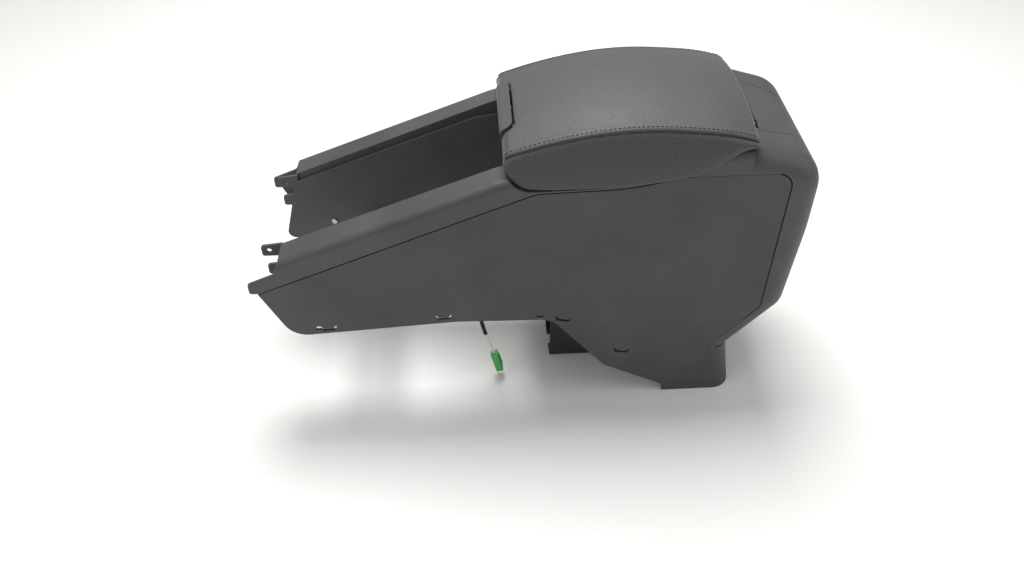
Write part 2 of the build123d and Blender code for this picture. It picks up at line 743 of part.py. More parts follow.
def bin_support():
    """Plate under the bin, on the floor bracket."""
    half = CARRIER_HALF_WIDTH - CARRIER_WALL
    low = BIN_FLOOR_HEIGHT - CARRIER_WALL
    plate = block(FLOOR_PLATE_STATION, FLOOR_PLATE_REAR_STATION, half, low, BIN_FLOOR_HEIGHT)
    plate += support_tabs(0)
    for station, side in bracket_screw_places():
        plate -= Pos(x_at(station), side, low) * Cylinder(SCREW_RADIUS + SCREW_FIT, 3 * CARRIER_WALL)
    return plate


def rear_bulkhead():
    """Plate behind the bin that carries the hinge bracket."""
    station, height = hinge_axis()
    rear = bulkhead_station()
    front = rear - CARRIER_WALL
    half = CARRIER_HALF_WIDTH - CARRIER_WALL
    plate = block(front, rear, half, BULKHEAD_LOW_HEIGHT, height - BULKHEAD_TOP_DROP)
    plate += bulkhead_tab(0)
    for side in SIDES:
        hole = Rot(0, 90, 0) * Cylinder(SCREW_RADIUS + SCREW_FIT, 4 * CARRIER_WALL)
        plate -= Pos(x_at(front), side * HINGE_SCREW_SIDE, height - HINGE_SCREW_DROP) * hole
    return plate


def bin_plan(inset):
    length = BIN_REAR_STATION - BIN_FRONT_STATION - 2 * inset
    width = 2 * (CARRIER_HALF_WIDTH - CARRIER_WALL - BIN_SIDE_GAP - inset)
    middle = (BIN_FRONT_STATION + BIN_REAR_STATION) / 2
    return Pos(x_at(middle), 0) * RectangleRounded(length, width, BIN_CORNER_RADIUS - inset)


def storage_bin():
    tub = upright(bin_plan(0), BIN_FLOOR_HEIGHT, TALL)
    flange_top = -BIN_FLANGE_DROP
    flange = on_lid(
        lid_box(
            STRIKER_FRONT,
            HINGE_U - 3 * KNUCKLE_RADIUS,
            CARRIER_HALF_WIDTH,
            flange_top - BIN_FLANGE_THICKNESS,
            flange_top,
        )
    )
    tub -= on_lid(lid_box(-BEYOND, LENGTH, 2 * FRONT_HALF_WIDTH, flange_top, TALL))
    hollow = upright(bin_plan(BIN_WALL), BIN_FLOOR_HEIGHT + BIN_WALL, TALL)
    hollow = fillet(hollow.edges().group_by(Axis.Z)[0], BIN_FLOOR_RADIUS)
    lamp_hole = Box(4 * BIN_WALL, LAMP_WIDTH + 2 * CLEARANCE, LAMP_TALL + 2 * CLEARANCE)
    tub = tub + flange - hollow
    tub -= Pos(x_at(BIN_FRONT_STATION), LAMP_SIDE, LAMP_HEIGHT) * lamp_hole
    return tub


def bin_mat():
    inset = BIN_WALL + BIN_FLOOR_RADIUS + CLEARANCE
    low = BIN_FLOOR_HEIGHT + BIN_WALL
    return upright(bin_plan(inset), low, low + MAT_THICKNESS)


def lamp_housing():
    front = BIN_FRONT_STATION - LAMP_DEPTH
    body = Box(LAMP_DEPTH + BIN_WALL, LAMP_WIDTH, LAMP_TALL)
    body = fillet(body.edges().group_by(Axis.X)[0], LAMP_WALL)
    body = Pos(x_at(front + (LAMP_DEPTH + BIN_WALL) / 2), LAMP_SIDE, LAMP_HEIGHT) * body
    rim = Box(LAMP_RIM, LAMP_WIDTH + 2 * LAMP_RIM_REACH, LAMP_TALL + 2 * LAMP_RIM_REACH)
    rim = fillet(rim.edges().filter_by(Axis.X), LAMP_RIM_REACH)
    inner_face = BIN_FRONT_STATION + BIN_WALL
    rim = Pos(x_at(inner_face + LAMP_RIM / 2), LAMP_SIDE, LAMP_HEIGHT) * rim
    pocket = Box(LAMP_DEPTH, LAMP_WIDTH - 2 * LAMP_WALL, LAMP_TALL - 2 * LAMP_WALL)
    pocket = Pos(x_at(inner_face + LAMP_RIM - LAMP_DEPTH / 2), LAMP_SIDE, LAMP_HEIGHT) * pocket
    return body + rim - pocket + lead_boot()


def lead_boot():
    """Short strain relief sloping forward and down from the lamp housing."""
    end = path_point(SLEEVE_ROUTE[0])
    along = (path_point(SLEEVE_ROUTE[1]) - end).normalized()
    root = end - along * BOOT_LENGTH
    cone = Cone(BOOT_ROOT_RADIUS, BOOT_END_RADIUS, BOOT_LENGTH, align=(Align.CENTER, Align.CENTER, Align.MIN))
    return Plane(origin=root, z_dir=along) * cone


def lamp_lens():
    inner_face = BIN_FRONT_STATION + BIN_WALL + LAMP_RIM
    shrink = 2 * (LAMP_WALL + SCREW_FIT)
    lens = Box(LAMP_RIM, LAMP_WIDTH - shrink, LAMP_TALL - shrink)
    return Pos(x_at(inner_face - LAMP_RIM / 2), LAMP_SIDE, LAMP_HEIGHT) * lens


def rear_cover():
    backing = WALL + CLEARANCE + LAP_DEPTH
    front = COVER_STATION + CLEARANCE
    skin = (rear_envelope(0) - rear_envelope(backing)) & cover_prism(-COVER_GAP, front)
    lap = (rear_envelope(WALL + CLEARANCE) - rear_envelope(backing)) & cover_prism(COVER_LAP, front)
    return skin + lap


def floor_bracket():
    """Folded sheet under the bin, its flanges turned in along the floor."""
    half = BRACKET_HALF_WIDTH
    sheet = BRACKET_SHEET
    top = BIN_FLOOR_HEIGHT - CARRIER_WALL
    flange_end = half - BRACKET_FLANGE
    path = FilletPolyline(
        (-flange_end, 0),
        (-half, 0),
        (-half, top),
        (half, top),
        (half, 0),
        (flange_end, 0),
        radius=BRACKET_BEND_RADIUS,
    )
    section = make_face(offset(path, amount=sheet, side=Side.RIGHT))
    solid = extrude(Plane.YZ * section, amount=BRACKET_LENGTH)
    solid = Pos(x_at(BRACKET_STATION), 0, 0) * solid
    for station, side in bolt_places():
        solid -= Pos(x_at(station), side, 0) * Cylinder(BOLT_HOLE_RADIUS, 4 * sheet)
    for station, side in bracket_screw_places():
        solid -= Pos(x_at(station), side, top) * Cylinder(SCREW_RADIUS + SCREW_FIT, 4 * sheet)
    return solid


def bolt_places():
    middle = BRACKET_STATION + BRACKET_LENGTH / 2
    return [(middle + end * BOLT_SPACING / 2, side * BOLT_SIDE) for end in SIDES for side in SIDES]


def bracket_screw_places():
    middle = BRACKET_STATION + BRACKET_LENGTH / 2
    return [(middle + end * BRACKET_LENGTH / 3, 0) for end in SIDES]


def bracket_screws():
    low = BIN_FLOOR_HEIGHT - CARRIER_WALL - BRACKET_SHEET
    grip = BRACKET_SHEET + CARRIER_WALL
    return Compound(children=[Pos(x_at(s), side, low) * screw(grip) for s, side in bracket_screw_places()])


def lid_plan(inset):
    length = LID_LENGTH - LID_FRONT - 2 * inset
    middle = (LID_LENGTH + LID_FRONT) / 2
    half = LID_HALF_WIDTH - inset
    return Pos(middle, 0) * RectangleRounded(length, 2 * half, LID_CORNER_RADIUS - inset)


def lid_screw_places():
    return [(u, side * LID_SCREW_SIDE) for u in LID_SCREW_PLACES for side in SIDES]


def leaf_screw_places():
    return [(HINGE_U - LEAF_LENGTH + LEAF_SCREW_INSET, side * HINGE_SCREW_SIDE) for side in SIDES]


def lid_base():
    top = RIM_GAP + LID_BASE_HEIGHT
    under = top - WALL
    base = upright(lid_plan(0), RIM_GAP, top)
    base -= upright(lid_plan(WALL), RIM_GAP, under)
    leaf_low = HINGE_W + KNUCKLE_RADIUS - HINGE_SHEET
    base -= lid_box(LID_LENGTH - 3 * WALL, LID_LENGTH, HINGE_HALF_WIDTH + 1, RIM_GAP - 1, under)
    for u, side in lid_screw_places():
        boss = Cylinder(LID_BOSS_RADIUS, under - RIM_GAP - LINER_THICKNESS, align=(Align.CENTER, Align.CENTER, Align.MAX))
        boss = Pos(u, side, under) * boss
        base += boss
        base -= Pos(u, side, under) * Cylinder(SCREW_RADIUS + SCREW_FIT, 3 * WALL)
    for u, side in leaf_screw_places():
        base -= Pos(u, side, leaf_low) * Cylinder(SCREW_RADIUS + SCREW_FIT, 20)
    for side in SIDES:
        start = ear_start()
        ear = lid_box(PIVOT_U - PIVOT_BOSS_RADIUS, PIVOT_U + PIVOT_BOSS_RADIUS, EAR_THICKNESS / 2, top, PIVOT_W)
        ear = Pos(0, start + EAR_THICKNESS / 2, 0) * ear
        ear += lid_peg(PIVOT_U, PIVOT_W, PIVOT_BOSS_RADIUS, start, start + EAR_THICKNESS)
        ear -= lid_peg(PIVOT_U, PIVOT_W, PIVOT_RADIUS + PIN_FIT, start - 1, start + EAR_THICKNESS + 1)
        base += ear if side > 0 else mirror(ear, Plane.XZ)
    return on_lid(base)


def ear_start():
    return PADDLE_HALF_WIDTH - PADDLE_WALL - 2 * EAR_THICKNESS - CLEARANCE


def lid_liner():
    room = lid_plan(WALL + CLEARANCE) & Pos(LINER_LENGTH / 2, 0) * Rectangle(LINER_LENGTH, 4 * LID_HALF_WIDTH)
    liner = upright(room, RIM_GAP, RIM_GAP + LINER_THICKNESS)
    for u, side in lid_screw_places():
        liner -= Pos(u, side, RIM_GAP) * Cylinder(SCREW_RADIUS + SCREW_FIT, 6 * LINER_THICKNESS)
        liner -= Pos(u, side, RIM_GAP) * Cylinder(SCREW_HEAD_RADIUS + CLEARANCE, 2 * (LINER_THICKNESS - 1))
    return on_lid(liner)


def lid_screws():
    low = RIM_GAP + LINER_THICKNESS - 1
    grip = 1 + LID_BASE_HEIGHT - LINER_THICKNESS
    return Compound(children=[on_lid(Pos(u, side, low) * screw(grip)) for u, side in lid_screw_places()])


def hinge_leaf():
    high = HINGE_W + KNUCKLE_RADIUS
    low = high - HINGE_SHEET
    side_room = KNUCKLE_RADIUS + 5
    leaf = lid_box(HINGE_U - LEAF_LENGTH, HINGE_U - side_room, HINGE_HALF_WIDTH, low, high)
    leaf += lid_box(HINGE_U - side_room, HINGE_U, LEAF_KNUCKLE_HALF, low, high)
    leaf += lid_peg(HINGE_U, HINGE_W, KNUCKLE_RADIUS, -LEAF_KNUCKLE_HALF, LEAF_KNUCKLE_HALF)
    leaf -= lid_peg(HINGE_U, HINGE_W, HINGE_PIN_RADIUS + PIN_FIT, -TALL, TALL)
    for u, side in leaf_screw_places():
        leaf -= Pos(u, side, low) * Cylinder(SCREW_RADIUS + SCREW_FIT, 20)
    return on_lid(leaf)


def hinge_screws():
    low = HINGE_W + KNUCKLE_RADIUS - HINGE_SHEET
    grip = HINGE_SHEET + WALL
    screws = [on_lid(Pos(u, side, low) * screw(grip)) for u, side in leaf_screw_places()]
    return Compound(children=screws)


def bracket_mount_screws():
    station, height = hinge_axis()
    front = station + KNUCKLE_RADIUS - HINGE_SHEET
    screws = []
    for side in SIDES:
        turned = Rot(0, 90, 0) * screw(HINGE_SHEET + CARRIER_WALL)
        screws.append(Pos(x_at(front), side * HINGE_SCREW_SIDE, height - HINGE_SCREW_DROP) * turned)
    return Compound(children=screws)


def hinge_bracket():
    station, height = hinge_axis()
    front = station + KNUCKLE_RADIUS - HINGE_SHEET
    rear = station + KNUCKLE_RADIUS
    plate = block(front, rear, HINGE_HALF_WIDTH, height - HINGE_BRACKET_DROP, height)
    plate -= block(front - 1, rear + 1, LEAF_KNUCKLE_HALF + CLEARANCE, height - KNUCKLE_RADIUS - 2, TALL)
    inner = LEAF_KNUCKLE_HALF + CLEARANCE
    for start, end in ((inner, HINGE_HALF_WIDTH), (-HINGE_HALF_WIDTH, -inner)):
        plate += peg(station, height, KNUCKLE_RADIUS, start, end)
    plate -= peg(station, height, HINGE_PIN_RADIUS + PIN_FIT, -TALL, TALL)
    for side in SIDES:
        hole = Rot(0, 90, 0) * Cylinder(SCREW_RADIUS + SCREW_FIT, 4 * HINGE_SHEET)
        plate -= Pos(x_at(front), side * HINGE_SCREW_SIDE, height - HINGE_SCREW_DROP) * hole
    return plate


def hinge_pin():
    station, height = hinge_axis()
    reach = HINGE_HALF_WIDTH + 1
    pin = peg(station, height, HINGE_PIN_RADIUS, -reach, reach)
    return chamfer(pin.edges(), 0.5)


def lid_bumpers():
    low = -BIN_FLANGE_DROP
    high = RIM_GAP - CLEARANCE
    pads = []
    for side in SIDES:
        pad = Cylinder(BUMPER_RADIUS, high - low, align=(Align.CENTER, Align.CENTER, Align.MIN))
        pads.append(on_lid(Pos(STRIKER_FRONT + BUMPER_SETBACK, side * BUMPER_SIDE, low) * pad))
    return Compound(children=pads)


def tab_prism(rear, half):
    """Prism square to the lid's rim, over a plan with rounded rear corners."""
    corners = [(-BEYOND, -half), (rear, -half), (rear, half), (-BEYOND, half)]
    radii = [0, PADDLE_CORNER_RADIUS, PADDLE_CORNER_RADIUS, 0]
    return upright(make_face(FilletPolyline(*corners, radius=radii, close=True)), -BEYOND, TALL)


def paddle_skin():
    """Side view of the paddle's curved skin in the lid's frame."""
    path = FilletPolyline(
        (PADDLE_FRONT, PADDLE_LOW),
        (PADDLE_FRONT, PADDLE_TOP - 4),
        (PADDLE_REAR, PADDLE_TOP + 1),
        radius=8,
    )
    return make_face(offset(path, amount=PADDLE_WALL, side=Side.RIGHT))


def release_paddle():
    skin = extrude(Plane.XZ * paddle_skin(), amount=PADDLE_HALF_WIDTH, both=True)
    skin &= tab_prism(PADDLE_REAR, PADDLE_HALF_WIDTH)
    lug_end = ear_start() - CLEARANCE
    lug_start = lug_end - EAR_THICKNESS
    lug_view = make_face(
        Polyline(
            (PADDLE_FRONT + 1, PADDLE_LOW + 12),
            (PADDLE_FRONT + 1, PADDLE_TOP - 8),
            (PIVOT_U - 1, PADDLE_TOP),
            (PIVOT_U + PIVOT_BOSS_RADIUS, PIVOT_W),
            (PIVOT_U, PIVOT_W - PIVOT_BOSS_RADIUS),
            close=True,
        )
    )
    lug = extrude(Plane.XZ * lug_view, amount=-EAR_THICKNESS)
    lug = Pos(0, lug_start, 0) * lug
    lug += lid_peg(PIVOT_U, PIVOT_W, PIVOT_BOSS_RADIUS, lug_start, lug_end)
    lugs = lug + mirror(lug, Plane.XZ)
    arm = lid_box(PADDLE_FRONT, PADDLE_FRONT + PADDLE_WALL, HOOK_WIDTH / 2, HOOK_LOW, PADDLE_LOW + 4)
    tooth = lid_box(PADDLE_FRONT, HOOK_REACH, HOOK_WIDTH / 2, HOOK_LOW, HOOK_LOW + 3.5)
    paddle = skin + lugs + arm + tooth
    paddle -= lid_peg(PIVOT_U, PIVOT_W, PIVOT_RADIUS + PIN_FIT, -TALL, TALL)
    return on_lid(paddle)


def paddle_pin():
    reach = ear_start() + EAR_THICKNESS
    return on_lid(lid_peg(PIVOT_U, PIVOT_W, PIVOT_RADIUS, -reach, reach))


def paddle_spring():
    """Close wound torsion spring on the pivot pin, with a leg on the lid base."""
    wire = SPRING_WIRE
    inner = PIVOT_RADIUS + CLEARANCE
    valley = inner + 0.7 * wire
    half = SPRING_TURNS * wire / 2
    edges = [Line((inner, half), (inner, -half)), Line((inner, -half), (valley, -half))]
    for turn in range(SPRING_TURNS):
        low = turn * wire - half
        crest = (inner + wire, low + wire / 2)
        edges.append(Line((valley, low), crest))
        edges.append(Line(crest, (valley, low + wire)))
    edges.append(Line((valley, half), (inner, half)))
    spring = Pos(PIVOT_U, 0, PIVOT_W) * revolve(make_face(edges), Axis.Y)
    top = RIM_GAP + LID_BASE_HEIGHT
    leg = Cylinder(SPRING_LEG_RADIUS, PIVOT_W - top, align=(Align.CENTER, Align.CENTER, Align.MIN))
    spring += Pos(PIVOT_U + inner + wire / 2, half - wire / 2, top) * leg
    return on_lid(spring)


def latch_striker():
    """Steel catch plate hooked over the bin's front rim."""
    low = -BIN_FLANGE_DROP
    high = low + STRIKER_SHEET
    front = STRIKER_FRONT - STRIKER_SHEET
    plate = lid_box(front, STRIKER_FRONT + STRIKER_LENGTH, STRIKER_HALF_WIDTH, low, high)
    plate += lid_box(front, STRIKER_FRONT, STRIKER_HALF_WIDTH, low - BIN_FLANGE_THICKNESS - 1, high)
    return on_lid(plate)


def armrest_cushion():
    front = x_at(CUSHION_FRONT_STATION)
    middle = x_at(CUSHION_TOP_STATION)
    rear = x_at(CUSHION_REAR_STATION)
    low = CUSHION_LOW_HEIGHT
    crown = Plane.XZ * make_face(
        [
            Line((front, low), (front, CUSHION_FRONT_HEIGHT)),
            ThreePointArc(
                (front, CUSHION_FRONT_HEIGHT),
                (middle, CUSHION_TOP_HEIGHT),
                (rear, CUSHION_REAR_HEIGHT),
            ),
            Line((rear, CUSHION_REAR_HEIGHT), (rear, low)),
            Line((rear, low), (front, low)),
        ]
    )
    axis = Axis((0, 0, CUSHION_TOP_HEIGHT - CUSHION_CROWN_RADIUS), (1, 0, 0))
    top = revolve(crown, axis, CUSHION_CROWN_ANGLE).rotate(axis, -CUSHION_CROWN_ANGLE / 2)
    corner = CUSHION_CORNER_RADIUS
    plan = make_face(
        FilletPolyline(
            (front, -CUSHION_FRONT_HALF_WIDTH),
            (middle, -CUSHION_HALF_WIDTH),
            (rear, -CUSHION_HALF_WIDTH),
            (rear, CUSHION_HALF_WIDTH),
            (middle, CUSHION_HALF_WIDTH),
            (front, CUSHION_FRONT_HALF_WIDTH),
            radius=[corner, CUSHION_SIDE_RADIUS, corner, corner, CUSHION_SIDE_RADIUS, corner],
            close=True,
        )
    )
    plan = Pos(0, 0, CUSHION_TOP_HEIGHT) * plan
    flared = extrude(plan, amount=low - CUSHION_TOP_HEIGHT, taper=-CUSHION_FLARE)
    pad = top & flared & across(gusset_outline())
    rest = RIM_GAP + LID_BASE_HEIGHT + CLEARANCE
    under = on_lid(lid_box(-BEYOND, LENGTH, CUSHION_SKIRT_HALF_WIDTH, -TALL, rest))
    pad -= under
    notch = tab_prism(PADDLE_REAR + PADDLE_REAR_GAP, PADDLE_HALF_WIDTH + PADDLE_GAP)
    return pad - on_lid(notch)


def path_point(place):
    behind, side, height = place
    return Vector(x_at(BIN_FRONT_STATION + behind), side, height)


def lead_tube(name, route, radius, shift):
    """Tube along straight runs joined by the largest arcs that the runs allow."""
    points = [path_point(place) + shift for place in route]
    radii = []
    for before, corner, after in zip(points, points[1:], points[2:]):
        turn = (corner - before).get_angle(after - corner)
        run = min((corner - before).length, (after - corner).length)
        radii.append(0.45 * run / math.tan(math.radians(turn / 2)))
    path = FilletPolyline(*points, radius=radii)
    start = Plane(origin=points[0], z_dir=points[1] - points[0])
    tube = sweep(start * Circle(radius), path=path)
    expected = math.pi * radius**2 * path.length
    print(name, "radii", [round(value, 1) for value in radii], "length", round(path.length, 1))
    print(name, "volume over section times length", round(tube.volume / expected, 4))
    return tube


def wire_connector():
    top = path_point(WIRE_ROUTE[-1])
    along = (top - path_point(WIRE_ROUTE[-2])).normalized()
    plane = Plane(origin=top, x_dir=(0, 1, 0), z_dir=along)
    body = Box(CONNECTOR_WIDTH, CONNECTOR_DEPTH, CONNECTOR_LENGTH, align=(Align.CENTER, Align.CENTER, Align.MIN))
    body = fillet(body.edges().filter_by(Axis.Z), CONNECTOR_EDGE_RADIUS)
    mouth = Box(
        CONNECTOR_WIDTH - 2 * CONNECTOR_WALL,
        CONNECTOR_DEPTH - 2 * CONNECTOR_WALL,
        CONNECTOR_MOUTH_DEPTH,
        align=(Align.CENTER, Align.CENTER, Align.MIN),
    )
    body -= Pos(0, 0, CONNECTOR_LENGTH - CONNECTOR_MOUTH_DEPTH) * mouth
    latch = Box(
        CONNECTOR_LATCH_WIDTH,
        CONNECTOR_LATCH_HEIGHT,
        CONNECTOR_LATCH_LENGTH,
        align=(Align.CENTER, Align.MIN, Align.MIN),
    )
    body += Pos(0, CONNECTOR_DEPTH / 2, CONNECTOR_LATCH_START) * latch
    return plane * body


def save(name, shape):
    export_step(shape, os.path.join("parts", name + ".step"))


def main():
    os.makedirs("parts", exist_ok=True)
    save("console_frame", console_frame())
    save("side_panel_left", side_panel(-1))
    save("side_panel_right", side_panel(1))
    save("carrier_wall_left", carrier_wall(-1))
    save("carrier_wall_right", carrier_wall(1))
    save("carrier_crossbar", carrier_crossbar())
    save("bin_support", bin_support())
    save("rear_bulkhead", rear_bulkhead())
    save("panel_screws", panel_screws())
    save("storage_bin", storage_bin())
    save("bin_mat", bin_mat())
    save("bin_lamp_housing", lamp_housing())
    save("bin_lamp_lens", lamp_lens())
    save("rear_cover", rear_cover())
    save("floor_bracket", floor_bracket())
    save("bracket_screws", bracket_screws())
    save("lid_base", lid_base())
    save("lid_liner", lid_liner())
    save("lid_screws", lid_screws())
    save("hinge_leaf", hinge_leaf())
    save("hinge_screws", hinge_screws())
    save("hinge_bracket", hinge_bracket())
    save("hinge_bracket_screws", bracket_mount_screws())
    save("hinge_pin", hinge_pin())
    save("lid_bumpers", lid_bumpers())
    save("armrest_cushion", armrest_cushion())
    save("release_paddle", release_paddle())
    save("paddle_pin", paddle_pin())
    save("paddle_spring", paddle_spring())
    save("latch_striker", latch_striker())
    save("harness_sleeve", lead_tube("sleeve", SLEEVE_ROUTE, SLEEVE_RADIUS, Vector(0, 0, 0)))
    first_run = path_point(WIRE_ROUTE[1]) - path_point(WIRE_ROUTE[0])
    apart = Vector(0, 1, 0).cross(first_run).normalized() * (-WIRE_SPACING / 2)
    save("harness_wire_front", lead_tube("front wire", WIRE_ROUTE, WIRE_RADIUS, apart * -1))
    save("harness_wire_rear", lead_tube("rear wire", WIRE_ROUTE, WIRE_RADIUS, apart))
    save("wire_connector", wire_connector())


main()
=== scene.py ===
import json
import math

import bmesh
import bpy
from mathutils import Matrix, Vector
from mathutils.bvhtree import BVHTree
from mathutils.kdtree import KDTree


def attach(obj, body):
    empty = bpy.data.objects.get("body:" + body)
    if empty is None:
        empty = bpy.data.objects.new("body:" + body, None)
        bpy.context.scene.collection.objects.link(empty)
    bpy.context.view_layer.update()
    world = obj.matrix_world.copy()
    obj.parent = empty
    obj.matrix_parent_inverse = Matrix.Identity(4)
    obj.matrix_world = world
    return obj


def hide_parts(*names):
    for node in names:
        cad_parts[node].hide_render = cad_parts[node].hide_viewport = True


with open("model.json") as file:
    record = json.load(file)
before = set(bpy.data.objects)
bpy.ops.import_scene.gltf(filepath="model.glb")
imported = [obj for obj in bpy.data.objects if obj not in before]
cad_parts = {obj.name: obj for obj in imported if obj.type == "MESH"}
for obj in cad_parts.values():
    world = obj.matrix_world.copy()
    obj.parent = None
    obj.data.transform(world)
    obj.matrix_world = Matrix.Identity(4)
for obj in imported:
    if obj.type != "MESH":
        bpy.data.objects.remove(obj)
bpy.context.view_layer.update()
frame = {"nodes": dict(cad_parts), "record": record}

# Lengths are in millimetres, as stations behind the console's foremost tip, sides and heights,
# apart from the values that are said to be in metres.
LENGTH = 632.0
RIM_STATION = 289.0
RIM_HEIGHT = 335.0
DECK_STATION = 556.0
DECK_HEIGHT = 362.0
RIM_ANGLE = math.atan2(DECK_HEIGHT - RIM_HEIGHT, DECK_STATION - RIM_STATION)
# Camera place in metres
CAMERA_PLACE = (-0.0599, -0.8675, 0.8784)
CAMERA_PITCH = 48.0
CAMERA_TURN = -3.0
FOCAL_PIXELS = 900.0
IMAGE_WIDTH = 1024.0
SENSOR = 36.0

SLEEVE_DIAMETER = 5.0
SLEEVE_ROUTE = [
    (283.0, -38.0, 249.0),
    (271.5, -41.0, 236.5),
    (262.0, -46.5, 217.5),
    (257.0, -53.0, 191.5),
    (255.5, -58.5, 158.0),
    (257.0, -61.5, 122.0),
    (260.5, -62.0, 94.0),
    (265.0, -62.0, 76.0),
]
WIRE_DIAMETER = 1.8
WIRE_SPACING = 2.2
WIRE_ROUTE = [
    (265.0, -62.0, 76.0),
    (267.75, -62.0, 65.0),
    (272.0, -62.0, 53.5),
    (275.125, -62.0, 41.0),
]

CUSHION_FRONT = 288.0
CUSHION_REAR = 554.5
CUSHION_END_RADIUS = 7.0
SEAM_LINE = [
    (288, 356.5),
    (328, 369),
    (366, 378),
    (404, 383.8),
    (442, 385.7),
    (481, 383.5),
    (520, 379),
    (554.5, 370.5),
]
LOWER_LINE = [
    (288, 351),
    (290.5, 341.5),
    (297, 331),
    (306, 325),
    (318, 323),
    (367, 324.6),
    (420, 327.7),
    (472, 334.7),
    (497, 341),
    (521, 352),
    (535, 360),
    (554.5, 366),
]
CROWN_LINE = [(288, 9.5), (440, 12.8), (554.5, 13.5)]
SEAM_FRONT_HALF_WIDTH = 88.0
SEAM_REAR_HALF_WIDTH = 93.5
GUSSET_FLARE = 0.27
GUSSET_BULGE = 2.9
GUSSET_LEAST = 3.0
CROWN_POWER = 2.3
SKIRT_HALF_WIDTH = 95.3
SKIRT_THICKNESS = 4.0
SKIRT_LEAN = 0.2
HEM_INSET = 2.0
HEM_DROP = 0.6
UNDERSIDE = 8.9
NOTCH_REAR = 16.4
NOTCH_HALF_WIDTH = 49.4
NOTCH_CORNER_RADIUS = 11.0
NOTCH_REACH = 60.0
NOTCH_TALL = 150.0
RING_COUNT = 134
TOP_STEPS = 24
GUSSET_STEPS = 12
SKIRT_STEPS = 3
UNDERSIDE_STEPS = 8
CORNER_STEPS = 8
SMOOTH_SHARE = 0.5
SMOOTH_ROUNDS = 9
SEAM_INSET = 2.0
SEAM_SAMPLE = 0.8
SEAM_SPACING = 3.0
GROOVE_DEPTH = 1.5
GROOVE_WIDTH = 1.7
SWELL_HEIGHT = 0.7
SWELL_PLACE = 7.0
SWELL_WIDTH = 4.0
STITCH_OFFSET = 5.5
STITCH_PITCH = 4.8
# Fine sizes of the cover, seam and stitches in metres
VOXEL = 0.0014
SEAM_SINK = 0.0003
SEAM_RADIUS = 0.0007
STITCH_RADIUS = 0.00036
# Shares of a stitch's pitch, each with its lift off the cover
STITCH_ARCH = [(0.1, -0.0003), (0.22, 0.0002), (0.4, 0.0004), (0.58, 0.0002), (0.7, -0.0003)]
# Studio, in metres
FLOOR_REACH = 6.0
FLOOR_COLOR = (0.92, 0.92, 0.9)
FLOOR_DARK = (0.91, 0.91, 0.89)
FLOOR_LIGHT = (0.93, 0.93, 0.91)
LIT_PLACE = (0, 0, 0.2)
REAR_LIT_PLACE = (0.3, 0, 0.25)
WORLD_STRENGTH = 0.38


def at(station, side, height):
    """Point in the row frame, in metres."""
    return Vector((station - LENGTH / 2, side, height)) / 1000


def along(line, station):
    """Height on a line of stations and heights, joined smoothly."""
    for index in range(len(line) - 1):
        if station <= line[index + 1][0]:
            break
    before = line[max(index - 1, 0)]
    start = line[index]
    end = line[index + 1]
    after = line[min(index + 2, len(line) - 1)]
    span = end[0] - start[0]
    share = (station - start[0]) / span
    start_slope = (end[1] - before[1]) / (end[0] - before[0])
    end_slope = (after[1] - start[1]) / (after[0] - start[0])
    square = share * share
    cube = square * share
    return (
        (2 * cube - 3 * square + 1) * start[1]
        + (cube - 2 * square + share) * span * start_slope
        + (3 * square - 2 * cube) * end[1]
        + (cube - square) * span * end_slope
    )


# Materials
def material(name, color, roughness):
    made = bpy.data.materials.new(name)
    made.use_nodes = True
    shader = made.node_tree.nodes["Principled BSDF"]
    shader.inputs["Base Color"].default_value = (*color, 1)
    shader.inputs["Roughness"].default_value = roughness
    return made, made.node_tree.nodes, made.node_tree.links, shader


def noise(nodes, links, scale, detail, stretch=(1, 1, 1)):
    """Noise in the row frame, with its scale per metre."""
    place = nodes.new("ShaderNodeTexCoord")
    mapping = nodes.new("ShaderNodeMapping")
    mapping.inputs["Scale"].default_value = stretch
    texture = nodes.new("ShaderNodeTexNoise")
    texture.inputs["Scale"].default_value = scale
    texture.inputs["Detail"].default_value = detail
    links.new(place.outputs["Object"], mapping.inputs["Vector"])
    links.new(mapping.outputs["Vector"], texture.inputs["Vector"])
    return texture


def shades(nodes, links, shader, factor, dark, light):
    """Base colour that runs between two shades with a factor."""
    ramp = nodes.new("ShaderNodeValToRGB")
    ramp.color_ramp.elements[0].position = 0.3
    ramp.color_ramp.elements[0].color = (*dark, 1)
    ramp.color_ramp.elements[1].position = 0.7
    ramp.color_ramp.elements[1].color = (*light, 1)
    links.new(factor, ramp.inputs["Fac"])
    links.new(ramp.outputs["Color"], shader.inputs["Base Color"])


def rough_range(nodes, links, shader, factor, low, high):
    spread = nodes.new("ShaderNodeMapRange")
    spread.inputs["To Min"].default_value = low
    spread.inputs["To Max"].default_value = high
    links.new(factor, spread.inputs["Value"])
    links.new(spread.outputs["Result"], shader.inputs["Roughness"])


def relief(nodes, links, shader, height, strength, distance, edge=0.0):
    """Bump from a height, over rounded edges where a radius is given."""
    bump = nodes.new("ShaderNodeBump")
    bump.inputs["Strength"].default_value = strength
    bump.inputs["Distance"].default_value = distance
    links.new(height, bump.inputs["Height"])
    if edge:
        rounded = nodes.new("ShaderNodeBevel")
        rounded.inputs["Radius"].default_value = edge
        links.new(rounded.outputs["Normal"], bump.inputs["Normal"])
    links.new(bump.outputs["Normal"], shader.inputs["Normal"])


def scaled(color, share):
    return tuple(value * share for value in color)


